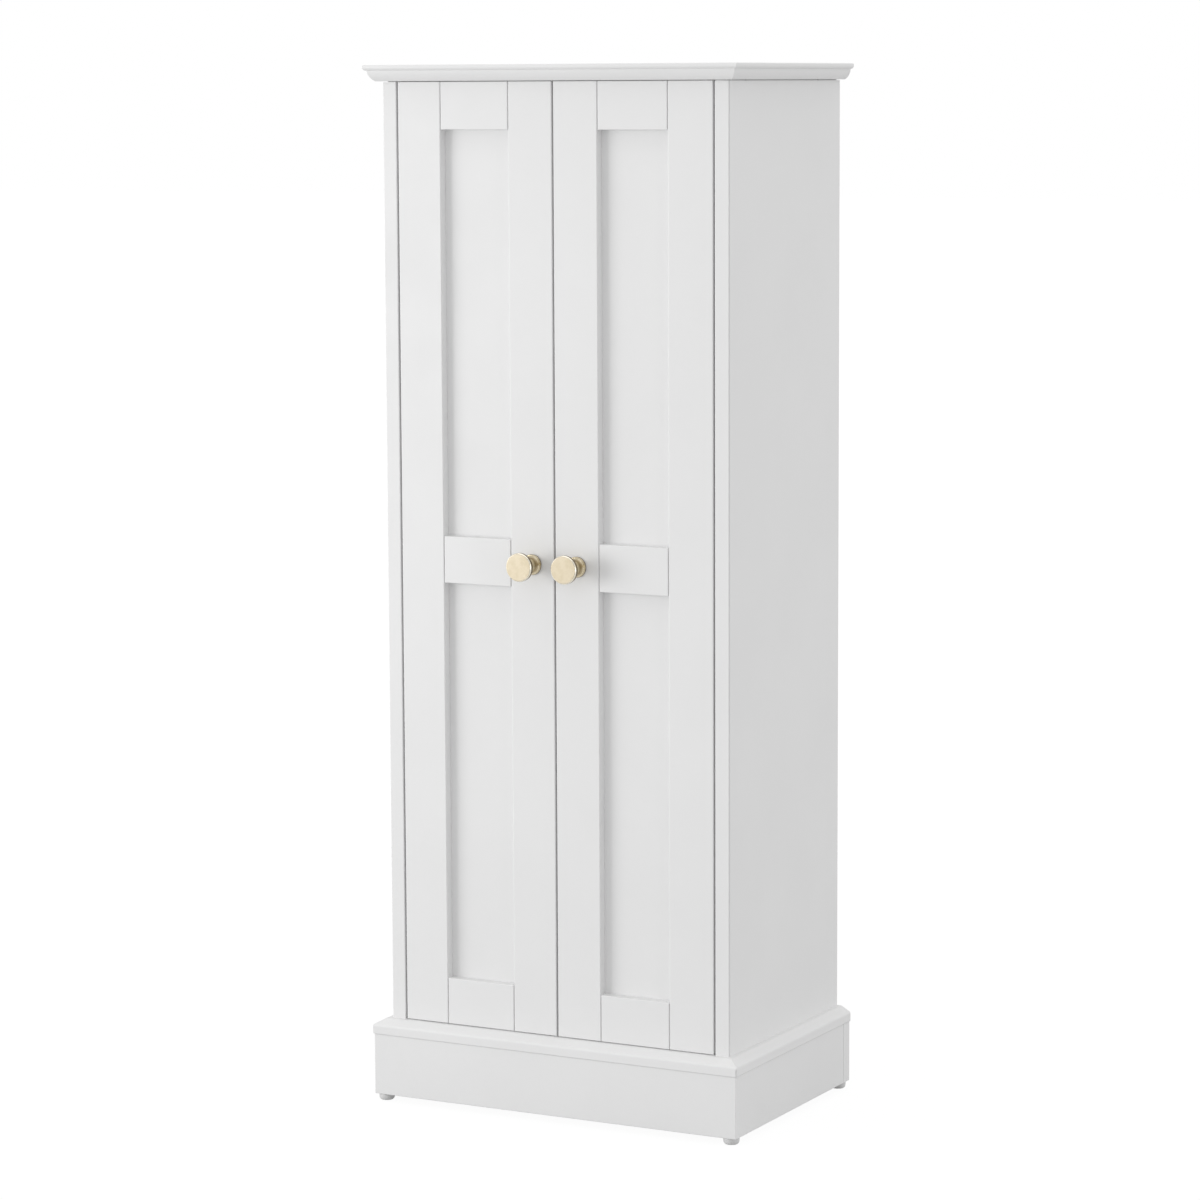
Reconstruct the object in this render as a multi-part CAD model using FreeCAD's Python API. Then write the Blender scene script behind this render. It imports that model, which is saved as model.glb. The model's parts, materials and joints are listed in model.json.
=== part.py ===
# A tall bathroom cabinet: painted boards on a moulded plinth, with a pair of inset framed doors.
# Millimetres, +Z up, the front towards -Y. The origin is on the floor, under the middle of the whole.
# The right half is modelled, and the left half is its mirror image.
import FreeCAD, Part
import math
import os

# Overall
total_height = 1050.0
top_width = 412.0
top_depth = 270.0
overhang = 15.0             # the moulded boards pass the carcass by this, at the front and the sides
board = 15.0                # side panels, shelves, plinth boards and wall rail
moulded_board = 16.0        # top and bottom boards
arris = 0.8                 # softened edges of the painted boards
seam_width = 0.7            # shadow lines where painted pieces meet
seam_depth = 1.8
open_seam_depth = 4.0       # of the seams under the cornice and in front of the plinth's back
edge_strip = 1.0            # edging along the front of a side panel
edge_line = 1.2             # width and depth of the line behind the edging

# Cornice edge of the top board
nose_height = 5.5
nose_top_round = 1.2
nose_low_round = 3.0
cornice_step = 3.4          # from the nose back to the ovolo under it
ovolo_width = 6.2
ovolo_bulge = 1.5

# Cap edge of the bottom board
cap_low_round = 1.5
cap_slope = 30.0            # degrees from level, of the slope above the upright face
cap_shoulder = 3.0          # radius of the round between the face and the slope
cap_crest = 3.0             # radius of the round at the top of the slope
cap_ledge = 4.0             # level top beside the carcass

# Plinth and feet
foot_height = 7.0
foot_diameter = 16.0
foot_round = 4.0
foot_inset = 9.0            # centre of a foot from the plinth's outer faces
nail_diameter = 2.4
nail_length = 15.0
plinth_height = 62.0
plinth_setback = 1.0        # plinth faces behind the cap's nose
corner_block = 22.0
corner_block_height = 45.0

# Back panel and wall rail
back_thickness = 3.0
back_inset = 8.0            # from the rear edges of the side panels
back_groove = 6.0
groove_slack = 0.2
rail_height = 60.0
wall_hole_diameter = 5.5
wall_hole_spacing = 240.0

# Shelves
shelf_setback = 36.0        # shelf fronts behind the cabinet's front, clear of the opening doors
shelf_end_gap = 1.0
pin_diameter = 5.0
pin_depth = 8.0
pin_inset = 37.0            # pins from the front and the back of a shelf
ledge_reach = 9.0
ledge_width = 9.0
ledge_thickness = 3.0
pin_hole_step = 32.0
pin_hole_rows = 2           # spare holes above and below each pin

# Doors
door_gap = 2.0              # at the sides and between the doors
door_end_gap = 0.5          # above and below the doors
door_thickness = 18.0
door_rail = 47.0            # height of the three rails
panel_recess = 10.0
panel_thickness = 5.0
panel_groove = 7.0
panel_slack = 0.5

# Knobs
knob_head = 28.5
knob_base = 20.6
knob_neck = 12.6
knob_projection = 29.0
knob_rim = 5.5              # thickness of the head's rim
knob_base_rim = 2.2
knob_round = 0.9
knob_thread = 4.0
knob_thread_depth = 16.0
knob_hole_slack = 0.25

# Concealed hinges
cup_diameter = 35.0
cup_wall = 3.0              # wood left beside the cup bore
cup_cover = 4.0             # wood left in front of the cup bore
cup_skin = 0.8
flange_thickness = 1.0
flange_lip = 1.5            # round flange past the bore
ear_radius = 6.0
ear_spacing = 48.0
ear_offset = 5.5            # cup screws from the cup's centre, away from the door's edge
hinge_pin = 2.5
running_gap = 0.05
barrel_diameter = 5.4
barrel_gap = 0.4            # barrel to the cup's floor
pivot_offset = 1.0          # pivot from the cup's centre, towards the door's edge
opening_angle = 95.0
arm_thickness = 2.5
arm_width = 14.0
neck_gap = 2.0              # goose-neck outside the path of the door's edge
plate_height = 8.0
plate_length = 46.0
plate_line = 37.0           # wing screws behind the door's inner face
wing_width = 12.0
wing_reach = 22.0
wing_thickness = 2.5
wing_screw_spacing = 32.0
hinge_from_end = 100.0      # hinge centres from the door's ends

# Cam fittings and dowels
cam_diameter = 15.0
cam_depth = 12.0
cam_distance = 24.0
cam_slot = 9.0
cam_slot_width = 1.6
cam_slot_depth = 2.0
bolt_thread = 6.0
bolt_thread_length = 11.0
bolt_shank = 5.0
bolt_head = 6.8
bolt_head_length = 3.0
bolt_slack = 0.4
dowel_diameter = 6.0
dowel_short = 10.0
dowel_long = 20.0
cam_inset = 45.0            # cams from the front and back edges of the boards they join
dowel_inset = 75.0

# Catches
catch_width = 26.0
catch_ear = 8.0
catch_ear_thickness = 3.5
catch_depth = 14.0
catch_height = 13.0
catch_gap = 0.4
magnet_width = 20.0
magnet_height = 7.0
magnet_reach = 2.0
magnet_seat = 6.0
strike_width = 18.0
strike_height = 26.0
strike_thickness = 1.0
strike_drop = 2.0           # strike plate below the door's top

# Screws
screw_diameter = 3.0
screw_head = 6.0
screw_head_height = 2.0
screw_recess = 0.7
screw_bite = 10.0           # length of a small screw in the wood
block_screw = 4.0
block_screw_bite = 12.0

# Places that follow from the sizes
carcass_half = top_width / 2 - overhang
inner_half = carcass_half - board
carcass_depth = top_depth - overhang
y_back = (carcass_depth + knob_projection) / 2
y_front = y_back - carcass_depth
y_back_panel = y_back - back_inset - back_thickness
y_shelf = y_front + shelf_setback
z_plinth_top = foot_height + plinth_height
z_floor = z_plinth_top + moulded_board
z_ceiling = total_height - moulded_board
plinth_half = carcass_half + overhang - plinth_setback
y_plinth = y_front - overhang + plinth_setback
stile = cup_wall + cup_diameter + cup_wall + panel_groove
door_outer = inner_half - door_gap
door_inner = door_gap / 2
door_low = z_floor + door_end_gap
door_high = z_ceiling - door_end_gap
door_middle = (door_low + door_high) / 2
rail_outer = door_outer - stile
rail_inner = door_inner + stile
cup_u = door_gap + cup_wall + cup_diameter / 2
pivot_u = cup_u - pivot_offset
pivot_v = cup_cover + cup_skin + barrel_gap + barrel_diameter / 2
hinge_heights = (door_low + hinge_from_end, door_high - hinge_from_end)

right = FreeCAD.Vector(1, 0, 0)
left = FreeCAD.Vector(-1, 0, 0)
forward = FreeCAD.Vector(0, -1, 0)
backward = FreeCAD.Vector(0, 1, 0)
up = FreeCAD.Vector(0, 0, 1)
down = FreeCAD.Vector(0, 0, -1)
mitred = 1                  # corners of a swept moulding

pieces = {}
cutters = {}


def point(x, y, z):
    return FreeCAD.Vector(x, y, z)


def block(x, y, z):
    return Part.makeBox(x[1] - x[0], y[1] - y[0], z[1] - z[0], point(x[0], y[0], z[0]))


def rod(start, direction, length, diameter):
    return Part.makeCylinder(diameter / 2, length, start, direction)


def prism(corners, direction, length):
    outline = Part.makePolygon(corners + corners[:1])
    return Part.Face(outline).extrude(direction * length)


def joined(solids):
    return solids[0].multiFuse(solids[1:]).removeSplitter()


def mirrored(solid):
    return solid.mirror(point(0, 0, 0), right)


def placed(solid, origin, x_axis, z_axis):
    y_axis = z_axis.cross(x_axis)
    rows = []
    for name in ("x", "y", "z"):
        rows += [getattr(axis, name) for axis in (x_axis, y_axis, z_axis, origin)]
    return solid.transformed(FreeCAD.Matrix(*rows, 0, 0, 0, 1))


def lies_in(edge, planes):
    # True if the edge lies wholly in every plane given, such as {"X": 10.0, "Y": 0.0}.
    ends = [(axis + end, place) for axis, place in planes.items() for end in ("Min", "Max")]
    return all(abs(getattr(edge.BoundBox, name) - place) < arris / 10 for name, place in ends)


def softened(solid, *places):
    # Round the edges that lie in any of the places.
    chosen = [edge for edge in solid.Edges if any(lies_in(edge, planes) for planes in places)]
    return solid.makeFillet(arris, chosen)


def softened_front(solid):
    return softened(solid, {"Y": solid.BoundBox.YMin})


def add(node, *solids):
    pieces.setdefault(node, []).extend(solids)


def add_pair(name, *solids):
    # A piece on the right and its mirror image on the left, as two nodes.
    add("right_" + name, *solids)
    add("left_" + name, *[mirrored(solid) for solid in solids])


def add_group(node, *solids):
    # Like pieces on both sides that share one node.
    add(node, *solids)
    add(node, *[mirrored(solid) for solid in solids])


def bore(node, *tools):
    cutters.setdefault(node, []).extend(tools)


def bore_pair(name, *tools):
    bore("right_" + name, *tools)
    bore("left_" + name, *[mirrored(tool) for tool in tools])


def bore_both(node, *tools):
    bore(node, *tools)
    bore(node, *[mirrored(tool) for tool in tools])


# Mouldings

def arc_step(start, end, bulge):
    # Middle and end of an arc that swells by bulge to the right of the way from start to end.
    across = (end[1] - start[1], start[0] - end[0])
    length = math.hypot(*across)
    middle = [(a + b) / 2 + bulge * c / length for a, b, c in zip(start, end, across)]
    return (tuple(middle), end)


def quarter_step(start, end):
    radius = abs(end[0] - start[0])
    return arc_step(start, end, radius * (1 - math.sqrt(0.5)))


def cornice_steps():
    ovolo_end = overhang - cornice_step
    ovolo_start = (ovolo_end - ovolo_width, 0)
    ovolo_top = (ovolo_end, moulded_board - nose_height)
    nose_low = (overhang - nose_low_round, ovolo_top[1])
    nose_side = (overhang, ovolo_top[1] + nose_low_round)
    nose_high = (overhang, moulded_board - nose_top_round)
    nose_top = (overhang - nose_top_round, moulded_board)
    return [
        (ovolo_start,),
        arc_step(ovolo_start, ovolo_top, ovolo_bulge),
        (nose_low,),
        quarter_step(nose_low, nose_side),
        (nose_high,),
        quarter_step(nose_high, nose_top),
        ((0, moulded_board),),
    ]


def cap_steps():
    slope = math.radians(cap_slope)
    low = (overhang - cap_low_round, 0)
    face_low = (overhang, cap_low_round)
    crest = (cap_ledge, moulded_board)
    slope_high = (cap_ledge + cap_crest * math.sin(slope), moulded_board - cap_crest * (1 - math.cos(slope)))
    shoulder_in = cap_shoulder * (1 - math.sin(slope))
    slope_run = overhang - shoulder_in - slope_high[0]
    slope_low = (overhang - shoulder_in, slope_high[1] - slope_run * math.tan(slope))
    face_high = (overhang, slope_low[1] - cap_shoulder * math.cos(slope))
    shoulder_bulge = cap_shoulder * (1 - math.cos((math.pi / 2 - slope) / 2))
    return [
        (low,),
        quarter_step(low, face_low),
        (face_high,),
        arc_step(face_high, slope_low, shoulder_bulge),
        (slope_high,),
        arc_step(slope_high, crest, cap_crest * (1 - math.cos(slope / 2))),
        ((0, moulded_board),),
    ]


def trace(steps, place):
    # Edges of a moulding from (0, 0), on the carcass at the board's underside, to its upper face.
    # A step is the end of a line, or the middle and the end of an arc.
    edges = []
    here = (0, 0)
    for step in steps:
        places = [place(*here)] + [place(*spot) for spot in step]
        if len(places) == 3:
            edges.append(Part.Arc(*places).toShape())
        else:
            edges.append(Part.LineSegment(*places).toShape())
        here = step[-1]
    return edges


def chain(*corners):
    return [Part.LineSegment(a, b).toShape() for a, b in zip(corners, corners[1:])]


def moulded(steps, z_low):
    # A plain board, with the moulding round its front and sides, mitred at the corners.
    z_high = z_low + moulded_board

    def at_rear(out, height):
        return point(carcass_half + out, y_back, z_low + height)

    corners = [point(side * carcass_half, y, z_low)
               for side, y in ((1, y_back), (1, y_front), (-1, y_front), (-1, y_back))]
    profile = Part.Wire(trace(steps, at_rear) + chain(at_rear(0, moulded_board), at_rear(0, 0)))
    edging = Part.Wire(chain(*corners)).makePipeShell([profile], True, False, mitred)
    plain = block((-carcass_half, carcass_half), (y_front, y_back), (z_low, z_high))
    return plain.fuse(edging).removeSplitter()


# Fasteners, each in its own frame

def pan_screw(length, diameter):
    # Head on the surface z = 0, shank along -Z, with a cross recess.
    head = rod(point(0, 0, 0), up, screw_head_height, screw_head)
    rim = [edge for edge in head.Edges if edge.BoundBox.ZMin > screw_head_height / 2]
    head = head.makeFillet(screw_head_height / 2, rim)
    shank = rod(point(0, 0, -length), up, length, diameter)
    recess_z = (screw_head_height - screw_recess, screw_head_height)
    wide = (-screw_head / 4, screw_head / 4)
    narrow = (-screw_head / 14, screw_head / 14)
    cross = block(wide, narrow, recess_z).fuse(block(narrow, wide, recess_z))
    return head.fuse(shank).cut(cross).removeSplitter()


def cam_lock():
    # X runs from the joint into the board, Z towards the board's open face.
    z_open = board / 2
    body = rod(point(cam_distance, 0, z_open - cam_depth), up, cam_depth, cam_diameter)
    cavity_end = cam_distance + bolt_head_length
    cavity = rod(point(0, 0, 0), right, cavity_end, bolt_head + 2 * bolt_slack)
    long_x = (cam_distance - cam_slot / 2, cam_distance + cam_slot / 2)
    short_x = (cam_distance - cam_slot_width / 2, cam_distance + cam_slot_width / 2)
    slot_z = (z_open - cam_slot_depth, z_open)
    slot = block(long_x, (-cam_slot_width / 2, cam_slot_width / 2), slot_z)
    cross = block(short_x, (-cam_slot / 2, cam_slot / 2), slot_z)
    return body.cut([cavity, slot, cross])


def cam_bolt():
    thread = rod(point(-bolt_thread_length, 0, 0), right, bolt_thread_length, bolt_thread)
    shank = rod(point(0, 0, 0), right, cam_distance, bolt_shank)
    head = rod(point(cam_distance - bolt_head_length, 0, 0), right, bolt_head_length, bolt_head)
    return joined([thread, shank, head])


def dowel():
    return rod(point(-dowel_short, 0, 0), right, dowel_short + dowel_long, dowel_diameter)


def cam_pocket():
    pocket = rod(point(cam_distance, 0, board / 2 - cam_depth), up, cam_depth, cam_diameter)
    way_in = rod(point(0, 0, 0), right, cam_distance, bolt_head + 2 * bolt_slack)
    return pocket.fuse(way_in)


def bolt_hole():
    return rod(point(-bolt_thread_length, 0, 0), right, bolt_thread_length, bolt_thread)


# Carcass

def add_boards():
    add("top_board", moulded(cornice_steps(), z_ceiling))
    add("bottom_board", moulded(cap_steps(), z_plinth_top))
    panel = block((inner_half, carcass_half), (y_front, y_back), (z_floor, z_ceiling))
    uprights = [{"X": x, "Y": y} for x, y in
                ((carcass_half, y_front), (carcass_half, y_back), (inner_half, y_front))]
    add_pair("side_panel", softened(panel, *uprights))
    slack = groove_slack / 2
    groove_y = (y_back_panel - slack, y_back_panel + back_thickness + slack)
    groove = block((inner_half, inner_half + back_groove), groove_y, (z_floor, z_ceiling))
    line_y = (y_front + edge_strip, y_front + edge_strip + edge_line)
    line = block((carcass_half - edge_line, carcass_half), line_y, (z_floor, z_ceiling))
    seam_z = (z_ceiling - seam_width, z_ceiling)
    side_seam = block((carcass_half - open_seam_depth, carcass_half), (y_front, y_back), seam_z)
    front_seam = block((inner_half, carcass_half), (y_front, y_front + open_seam_depth), seam_z)
    bore_pair("side_panel", groove, line, side_seam, front_seam)
    back_half = inner_half + back_groove - panel_slack
    add("back_panel", block((-back_half, back_half), (y_back_panel, y_back_panel + back_thickness),
                            (z_floor, z_ceiling)))


def add_wall_rail():
    z_rail = z_ceiling - rail_height / 2
    y_rail = y_back_panel - board
    add("wall_rail", block((-inner_half, inner_half), (y_rail, y_back_panel),
                           (z_ceiling - rail_height, z_ceiling)))
    wall_hole = rod(point(wall_hole_spacing / 2, y_rail, z_rail), backward,
                    board + back_thickness, wall_hole_diameter)
    bore_both("wall_rail", wall_hole)
    bore_both("back_panel", wall_hole)
    end = point(inner_half, y_rail + board / 2, z_rail)
    join_with_cam("wall_rail", "side_panel", end, left, forward)
    for side in (-1, 1):
        join_with_dowel("wall_rail", "side_panel", end + up * (side * rail_height / 3), left)


def join_with_cam(cam_node, bolt_node, at, into, face):
    # A cam in the end of one board draws a bolt that is screwed into the face of another.
    add_group("cam_locks", placed(cam_lock(), at, into, face))
    add_group("cam_bolts", placed(cam_bolt(), at, into, face))
    drill_joint(cam_node, placed(cam_pocket(), at, into, face))
    drill_joint(bolt_node, placed(bolt_hole(), at, into, face))


def join_with_dowel(long_node, short_node, at, into):
    pin = placed(dowel(), at, into, into.cross(backward + up).normalize())
    add_group("dowels", pin)
    drill_joint(long_node, pin)
    drill_joint(short_node, pin)


def drill_joint(node, tool):
    if node == "side_panel":
        bore_pair(node, tool)
    else:
        bore_both(node, tool)


def join_boards():
    x_panel = inner_half + board / 2
    for inset, joint in ((cam_inset, "cam"), (dowel_inset, "dowel")):
        for y in (y_front + inset, y_back - inset):
            for z, into, node in ((z_ceiling, down, "top_board"), (z_floor, up, "bottom_board")):
                at = point(x_panel, y, z)
                if joint == "cam":
                    join_with_cam("side_panel", node, at, into, left)
                else:
                    join_with_dowel("side_panel", node, at, into)


def add_shelves():
    slab = (door_middle - board / 2, door_middle + board / 2)
    shelf_y = (y_shelf, y_back_panel)
    add("fixed_shelf", softened_front(block((-inner_half, inner_half), shelf_y, slab)))
    for y in (y_shelf + cam_inset, y_back_panel - cam_inset):
        join_with_cam("fixed_shelf", "side_panel", point(inner_half, y, door_middle), left, down)
    for y in (y_shelf + dowel_inset, y_back_panel - dowel_inset):
        join_with_dowel("fixed_shelf", "side_panel", point(inner_half, y, door_middle), left)
    loose_half = inner_half - shelf_end_gap
    loose_y = (y_shelf, y_back_panel - shelf_end_gap)
    for name, low, high in (("upper_shelf", slab[1], z_ceiling), ("lower_shelf", z_floor, slab[0])):
        z_under = (low + high - board) / 2
        shelf = block((-loose_half, loose_half), loose_y, (z_under, z_under + board))
        add(name, softened_front(shelf))
        for y in (loose_y[0] + pin_inset, loose_y[1] - pin_inset):
            add_shelf_pin(y, z_under)


def add_shelf_pin(y, z_under):
    z_pin = z_under - ledge_thickness / 2
    spigot = rod(point(inner_half, y, z_pin), right, pin_depth, pin_diameter)
    ledge = block((inner_half - ledge_reach, inner_half), (y - ledge_width / 2, y + ledge_width / 2),
                  (z_under - ledge_thickness, z_under))
    add_group("shelf_pins", spigot.fuse(ledge))
    for row in range(-pin_hole_rows, pin_hole_rows + 1):
        bore_pair("side_panel", spigot.translated(up * (row * pin_hole_step)))


# Plinth and feet

def add_plinth():
    height = (foot_height, z_plinth_top)
    inner = plinth_half - board
    y_inner = y_plinth + board
    y_rear = y_back - board

    def corners(*places):
        return [point(x, y, foot_height) for x, y in places]

    corner = {"X": plinth_half, "Y": y_plinth}
    other_corner = {"X": -plinth_half, "Y": y_plinth}
    footprint = block((-plinth_half, plinth_half), (y_plinth, y_back), height)
    footprint = softened(footprint, corner, other_corner, {"Z": foot_height})
    front = prism(corners((-plinth_half, y_plinth), (plinth_half, y_plinth),
                          (inner, y_inner), (-inner, y_inner)), up, plinth_height)
    side = prism(corners((plinth_half, y_plinth), (plinth_half, y_rear),
                         (inner, y_rear), (inner, y_inner)), up, plinth_height)
    side = softened(side, {"X": plinth_half, "Y": y_rear})
    rear = block((-plinth_half, plinth_half), (y_rear + seam_width, y_back), height)
    rear = softened(rear, {"X": plinth_half}, {"X": -plinth_half})
    core_half = plinth_half - open_seam_depth
    rear = joined([rear, block((-core_half, core_half), (y_rear, y_back), height)])
    add("plinth_front", front.common(footprint))
    add_pair("plinth_side", side.common(footprint))
    add("plinth_back", rear.common(footprint))
    cap_corner = point(carcass_half + overhang, y_front - overhang, z_plinth_top)
    line = block((-seam_width / 2, seam_width / 2), (-seam_depth, seam_depth), (0, moulded_board / 2))
    bore_both("bottom_board", placed(line, cap_corner, (right + backward).normalize(), up))
    for name, y, y_foot in (("front", y_inner, y_plinth + foot_inset),
                            ("back", y_rear - corner_block, y_back - foot_inset)):
        add_corner_block(inner, y)
        add_foot(name, y_foot)


def add_corner_block(inner, y):
    z_low = z_plinth_top - corner_block_height
    x_middle = inner - corner_block / 2
    add_group("plinth_corner_blocks", block((inner - corner_block, inner), (y, y + corner_block),
                                            (z_low, z_plinth_top)))
    screw = pan_screw(corner_block_height + block_screw_bite, block_screw)
    screw = placed(screw, point(x_middle, y + corner_block / 2, z_low), right, down)
    add_group("plinth_screws", screw)
    bore("plinth_corner_blocks", screw, mirrored(screw))
    bore_both("bottom_board", screw)


def add_foot(name, y):
    x = plinth_half - foot_inset
    glide = rod(point(x, y, 0), up, foot_height, foot_diameter)
    sole = [edge for edge in glide.Edges if edge.BoundBox.ZMax < foot_height / 2]
    glide = glide.makeFillet(foot_round, sole)
    nail = rod(point(x, y, foot_height), up, nail_length, nail_diameter)
    add_pair(name + "_foot", glide.fuse(nail))
    if name == "front":
        bore_both("plinth_front", nail)
        bore_pair("plinth_side", nail)
    else:
        bore_both("plinth_back", nail)


# Doors

def add_door_frame():
    depth = (y_front, y_front + door_thickness)
    groove_low = y_front + panel_recess - groove_slack / 2
    groove_y = (groove_low, groove_low + panel_thickness + groove_slack)
    full = (door_low, door_high)
    add_pair("door_outer_stile", softened_front(block((rail_outer, door_outer), depth, full)))
    add_pair("door_inner_stile", softened_front(block((door_inner, rail_inner), depth, full)))
    bore_pair("door_outer_stile", block((rail_outer, rail_outer + panel_groove), groove_y, full))
    bore_pair("door_inner_stile", block((rail_inner - panel_groove, rail_inner), groove_y, full))
    middle_low = door_middle - door_rail / 2
    middle_high = door_middle + door_rail / 2
    rails = {"bottom": (door_low, door_low + door_rail), "middle": (middle_low, middle_high),
             "top": (door_high - door_rail, door_high)}
    for name, height in rails.items():
        add_door_rail(name, depth, groove_y, height)
    panel_y = (y_front + panel_recess, y_front + panel_recess + panel_thickness)
    hidden = panel_groove - panel_slack
    panel_x = (rail_inner - hidden, rail_outer + hidden)
    for name, low, high in (("lower", "bottom", "middle"), ("upper", "middle", "top")):
        panel_z = (rails[low][1] - hidden, rails[high][0] + hidden)
        add_pair("door_%s_panel" % name, block(panel_x, panel_y, panel_z))


def add_door_rail(name, depth, groove_y, height):
    # Tongues on the ends share the stiles' panel grooves. In front a seam parts the rail from the stiles.
    node = "door_%s_rail" % name
    long_x = (rail_inner - panel_groove, rail_outer + panel_groove)
    face_x = (rail_inner + seam_width, rail_outer - seam_width)
    face = softened_front(block(face_x, depth, height))
    body = block((rail_inner, rail_outer), (depth[0] + seam_depth, depth[1]), height)
    add_pair(node, joined([face, body, block(long_x, groove_y, height)]))
    if name != "bottom":
        bore_pair(node, block(long_x, groove_y, (height[0], height[0] + panel_groove)))
    if name != "top":
        bore_pair(node, block(long_x, groove_y, (height[1] - panel_groove, height[1])))


def add_knob():
    x = door_inner + stile / 2

    def at(radius, out):
        return point(x + radius, y_front - out, door_middle)

    head = knob_head / 2
    base = knob_base / 2
    head_back = knob_projection - knob_rim
    neck_out = (knob_base_rim + head_back) / 2
    neck_foot = at(base - knob_round, knob_base_rim)
    neck_top = at(head - 2 * knob_round, head_back)
    outline = chain(at(0, 0), at(base, 0), at(base, knob_base_rim - knob_round), neck_foot)
    outline.append(Part.Arc(neck_foot, at(knob_neck / 2, neck_out), neck_top).toShape())
    outline += chain(neck_top, at(head, head_back + knob_round), at(head, knob_projection - knob_round),
                     at(head - knob_round, knob_projection), at(0, knob_projection), at(0, 0))
    knob = Part.Face(Part.Wire(outline)).revolve(at(0, 0), forward, 360)
    add_pair("knob", knob)
    y_inside = y_front + door_thickness
    screw = pan_screw(door_thickness + knob_thread_depth, knob_thread)
    screw = placed(screw, point(x, y_inside, door_middle), right, backward)
    add_pair("knob_screw", screw)
    bore_pair("knob", screw)
    clear = knob_thread + 2 * knob_hole_slack
    bore_pair("door_inner_stile", rod(at(0, 0), backward, door_thickness, clear))


# Hinges: u runs inwards from the side panel, v backwards from the cabinet's front

def hinge_point(u, v, z):
    return point(inner_half - u, y_front + v, z)


def hinge_block(u, v, z):
    return block((inner_half - u[1], inner_half - u[0]), (y_front + v[0], y_front + v[1]), z)


def add_hinge(z):
    add_hinge_cup(z)
    arm_u = plate_height + arm_thickness / 2
    wing_v = door_thickness + plate_line
    plate_v = (wing_v - wing_width, wing_v - wing_width + plate_length)
    add_hinge_arm(z, arm_u, plate_v[1])
    add_hinge_plate(z, wing_v, plate_v)
    screw_v = plate_v[1] - wing_width
    fixing = pan_screw(plate_height / 2 + arm_thickness, screw_diameter)
    fixing = placed(fixing, hinge_point(plate_height + arm_thickness, screw_v, z), up, left)
    add_group("arm_screws", fixing)
    bore_pair("hinge_arms", fixing)
    bore("hinge_plates", fixing, mirrored(fixing))


def add_hinge_cup(z):
    inside = cup_diameter - 2 * cup_skin
    cup_depth = door_thickness - cup_cover
    bore_start = hinge_point(cup_u, cup_cover, z)
    shell = rod(bore_start, backward, cup_depth, cup_diameter)
    bore_pair("door_outer_stile", shell)
    flange = [rod(hinge_point(cup_u, door_thickness, z), backward, flange_thickness,
                  cup_diameter + 2 * flange_lip)]
    ear_u = cup_u + ear_offset
    ears = (z - ear_spacing / 2, z + ear_spacing / 2)
    back_face = (door_thickness, door_thickness + flange_thickness)
    flange.append(hinge_block((ear_u - ear_radius, ear_u + ear_radius), back_face, ears))
    for ear in ears:
        flange.append(rod(hinge_point(ear_u, door_thickness, ear), backward, flange_thickness,
                          2 * ear_radius))
        screw = pan_screw(screw_bite + flange_thickness, screw_diameter)
        screw = placed(screw, hinge_point(ear_u, back_face[1], ear), right, backward)
        add_pair("door_screws", screw)
        bore_pair("hinge_cups", screw)
        bore_pair("door_outer_stile", screw)
    hollow_depth = cup_depth + flange_thickness - cup_skin
    hollow = rod(hinge_point(cup_u, cup_cover + cup_skin, z), backward, hollow_depth, inside)
    half = math.sqrt((cup_diameter / 2) ** 2 - pivot_offset ** 2) - cup_skin / 2
    pin = rod(hinge_point(pivot_u, pivot_v, z - half), up, 2 * half, hinge_pin)
    add_pair("hinge_pins", pin)
    add_pair("hinge_cups", joined([shell] + flange).cut(hollow))
    bore_pair("hinge_cups", pin)


def add_hinge_arm(z, arm_u, arm_end):
    # The neck leaves the cup midway between its rims, then passes round the door's edge.
    rim = door_thickness + flange_thickness - pivot_v
    inside = cup_diameter / 2 - cup_skin
    shut_limit = math.atan((inside + pivot_offset) / rim)
    open_limit = math.radians(opening_angle) - math.atan((inside - pivot_offset) / rim)
    angle = (shut_limit + open_limit) / 2
    edge_path = math.hypot(pivot_u - door_gap, door_thickness - pivot_v)
    reach = edge_path + neck_gap + arm_thickness / 2
    route = [
        (pivot_u, pivot_v),
        (pivot_u + reach * math.sin(angle), pivot_v + reach * math.cos(angle)),
        (pivot_u + reach * math.tan(angle / 2), pivot_v + reach),
        (arm_u, pivot_v + reach),
        (arm_u, arm_end),
    ]
    z_low = z - arm_width / 2
    solids = [rod(hinge_point(pivot_u, pivot_v, z_low), up, arm_width, barrel_diameter)]
    for start, end in zip(route, route[1:]):
        along = (end[0] - start[0], end[1] - start[1])
        scale = arm_thickness / 2 / math.hypot(*along)
        side = (-along[1] * scale, along[0] * scale)
        corners = [(start, 1), (end, 1), (end, -1), (start, -1)]
        strip = [hinge_point(p[0] + side[0] * s, p[1] + side[1] * s, z_low) for p, s in corners]
        solids.append(prism(strip, up, arm_width))
    for bend in route[1:-1]:
        solids.append(rod(hinge_point(*bend, z_low), up, arm_width, arm_thickness))
    add_pair("hinge_arms", joined(solids))
    bore_pair("hinge_arms", rod(hinge_point(pivot_u, pivot_v, z_low), up, arm_width,
                                hinge_pin + 2 * running_gap))


def add_hinge_plate(z, wing_v, plate_v):
    body = hinge_block((0, plate_height), plate_v, (z - arm_width / 2, z + arm_width / 2))
    wing = hinge_block((0, wing_thickness), (wing_v - wing_width / 2, wing_v + wing_width / 2),
                       (z - wing_reach, z + wing_reach))
    add_group("hinge_plates", body.fuse(wing).removeSplitter())
    for side in (-1, 1):
        at = hinge_point(wing_thickness, wing_v, z + side * wing_screw_spacing / 2)
        screw = placed(pan_screw(screw_bite + wing_thickness, screw_diameter), at, up, left)
        add_group("plate_screws", screw)
        bore("hinge_plates", screw, mirrored(screw))
        bore_pair("side_panel", screw)


# Catches

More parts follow.
